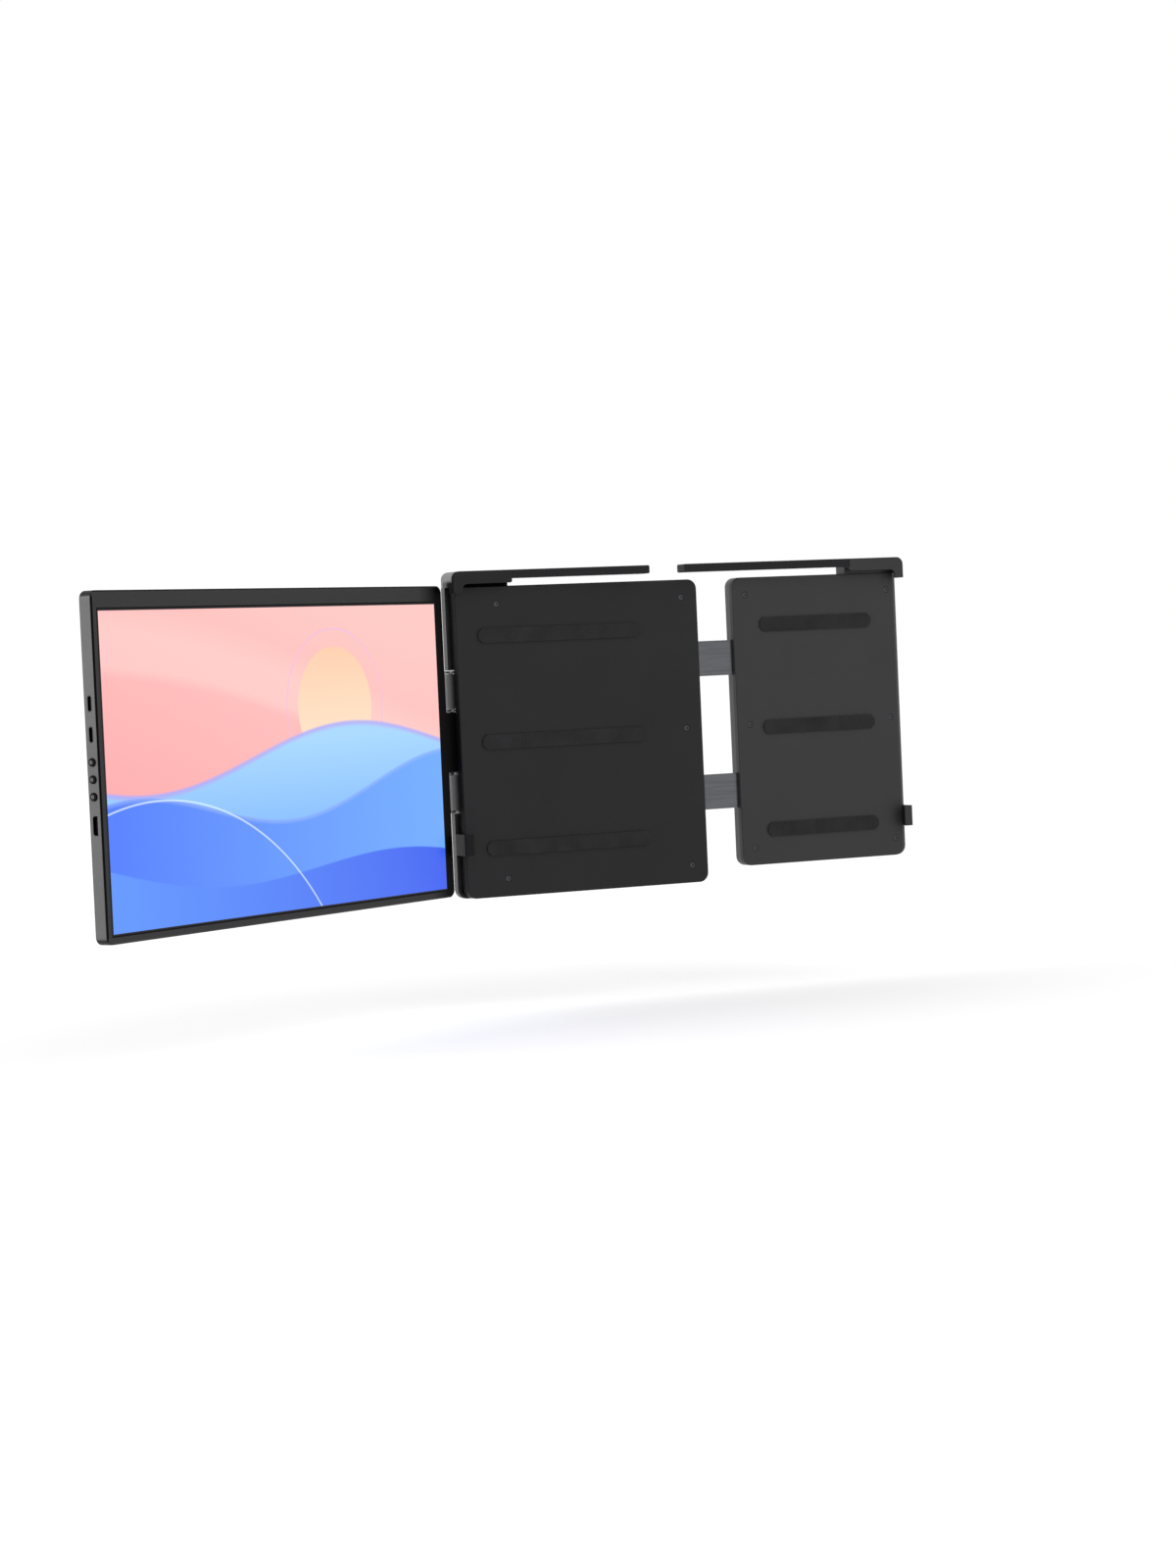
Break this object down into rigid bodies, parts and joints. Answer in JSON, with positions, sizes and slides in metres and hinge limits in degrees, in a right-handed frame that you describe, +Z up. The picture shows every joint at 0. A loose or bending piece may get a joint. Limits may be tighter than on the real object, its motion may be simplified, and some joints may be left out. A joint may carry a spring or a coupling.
{
  "type": "portable monitor",
  "caption": "Clip-on portable monitor: a frame hooks over a laptop's lid and stretches to its width; a slim screen turns about a geared hinge at its left edge.",
  "frame": {"origin": "middle of the middle seat pad's face, on which the back of the laptop's lid rests", "axes": "+X to the user's right along the lid, +Y away from the user behind the lid, +Z up along the lid"},
  "size_m": [0.5929, 0.1853, 0.1995],
  "materials": {
    "frame_plastic": "fine-grained dark grey plastic",
    "grip_plastic": "satin grey plastic",
    "bar_metal": "anodised grey aluminium",
    "soft_rubber": "soft black rubber",
    "guide_plastic": "white slide plastic",
    "rail_metal": "anodised grey aluminium",
    "hinge_metal": "black satin paint",
    "pin_steel": "turned steel",
    "screw_steel": "blackened steel",
    "screen_metal": "blasted and anodised grey aluminium",
    "bezel_plastic": "fine matt black plastic",
    "display_glass": null,
    "tray_metal": "plain sheet",
    "board_laminate": "green solder mask",
    "chip_plastic": "black moulding",
    "port_steel": "plated steel",
    "speaker_plastic": "black moulding",
    "button_plastic": "satin grey plastic"
  },
  "bodies": {
    "frame": {"back_shell": "frame_plastic", "front_cover": "frame_plastic", "left_corner_hook": "grip_plastic", "left_hook_lining": "soft_rubber", "left_top_bar": "bar_metal", "left_side_clip": "grip_plastic", "seat_pads": "soft_rubber", "rail_guides": "guide_plastic", "frame_hinge_brackets": "hinge_metal", "frame_hinge_shafts": "pin_steel", "stand_pins": "pin_steel", "frame_screws": "screw_steel"},
    "stand": {"stand_flap": "frame_plastic", "stand_foot": "soft_rubber"},
    "right_arm": {"arm_shell": "frame_plastic", "arm_cover": "frame_plastic", "slide_rails": "rail_metal", "rail_stops": "guide_plastic", "right_corner_hook": "grip_plastic", "right_hook_lining": "soft_rubber", "right_top_bar": "bar_metal", "right_side_clip": "grip_plastic", "arm_pads": "soft_rubber", "arm_screws": "screw_steel"},
    "hinge_link": {"hinge_links": "hinge_metal", "hinge_link_caps": "hinge_metal", "hinge_spine": "frame_plastic"},
    "screen": {"screen_back_shell": "screen_metal", "front_bezel": "bezel_plastic", "display_panel": "display_glass", "backlight_tray": "tray_metal", "main_board": "board_laminate", "board_chips": "chip_plastic", "display_connector": "chip_plastic", "usb_c_ports": "port_steel", "mini_hdmi_port": "port_steel", "button_switches": "chip_plastic", "speakers": "speaker_plastic", "screen_hinge_brackets": "hinge_metal", "screen_hinge_shafts": "pin_steel"},
    "power_button_body": {"power_button": "button_plastic"},
    "up_button_body": {"up_button": "button_plastic"},
    "down_button_body": {"down_button": "button_plastic"}
  },
  "joints": [
    {"name": "screen_hinge", "type": "hinge", "parent": "hinge_link", "child": "screen", "pos_m": [-0.07584, 0.01019, 0], "axis": [0, 0, 1], "range_deg": [-106.17, 11.33]},
    {"name": "link_hinge", "type": "hinge", "parent": "frame", "child": "hinge_link", "pos_m": [-0.0696, 0.012, 0], "axis": [0, 0, 1], "range_deg": [-106.17, 11.33]},
    {"name": "arm_slide", "type": "slide", "parent": "frame", "child": "right_arm", "axis": [1, 0, 0], "range_m": [-0.022, 0.085]},
    {"name": "stand_hinge", "type": "hinge", "parent": "frame", "child": "stand", "pos_m": [0.022, 0.013, -0.0902], "axis": [-1, 0, 0], "range_deg": [0, 150]},
    {"name": "power_button_press", "type": "slide", "parent": "screen", "child": "power_button_body", "axis": [0.8449, 0.5349, 0], "range_m": [0, 0.0005], "stiffness_N_per_m": 1500, "springref_m": -0.0003},
    {"name": "up_button_press", "type": "slide", "parent": "screen", "child": "up_button_body", "axis": [0.8449, 0.5349, 0], "range_m": [0, 0.0005], "stiffness_N_per_m": 1500, "springref_m": -0.0003},
    {"name": "down_button_press", "type": "slide", "parent": "screen", "child": "down_button_body", "axis": [0.8449, 0.5349, 0], "range_m": [0, 0.0005], "stiffness_N_per_m": 1500, "springref_m": -0.0003}
  ],
  "couplings": [
    {"joint": "link_hinge", "follows": "screen_hinge", "ratio": 1}
  ]
}
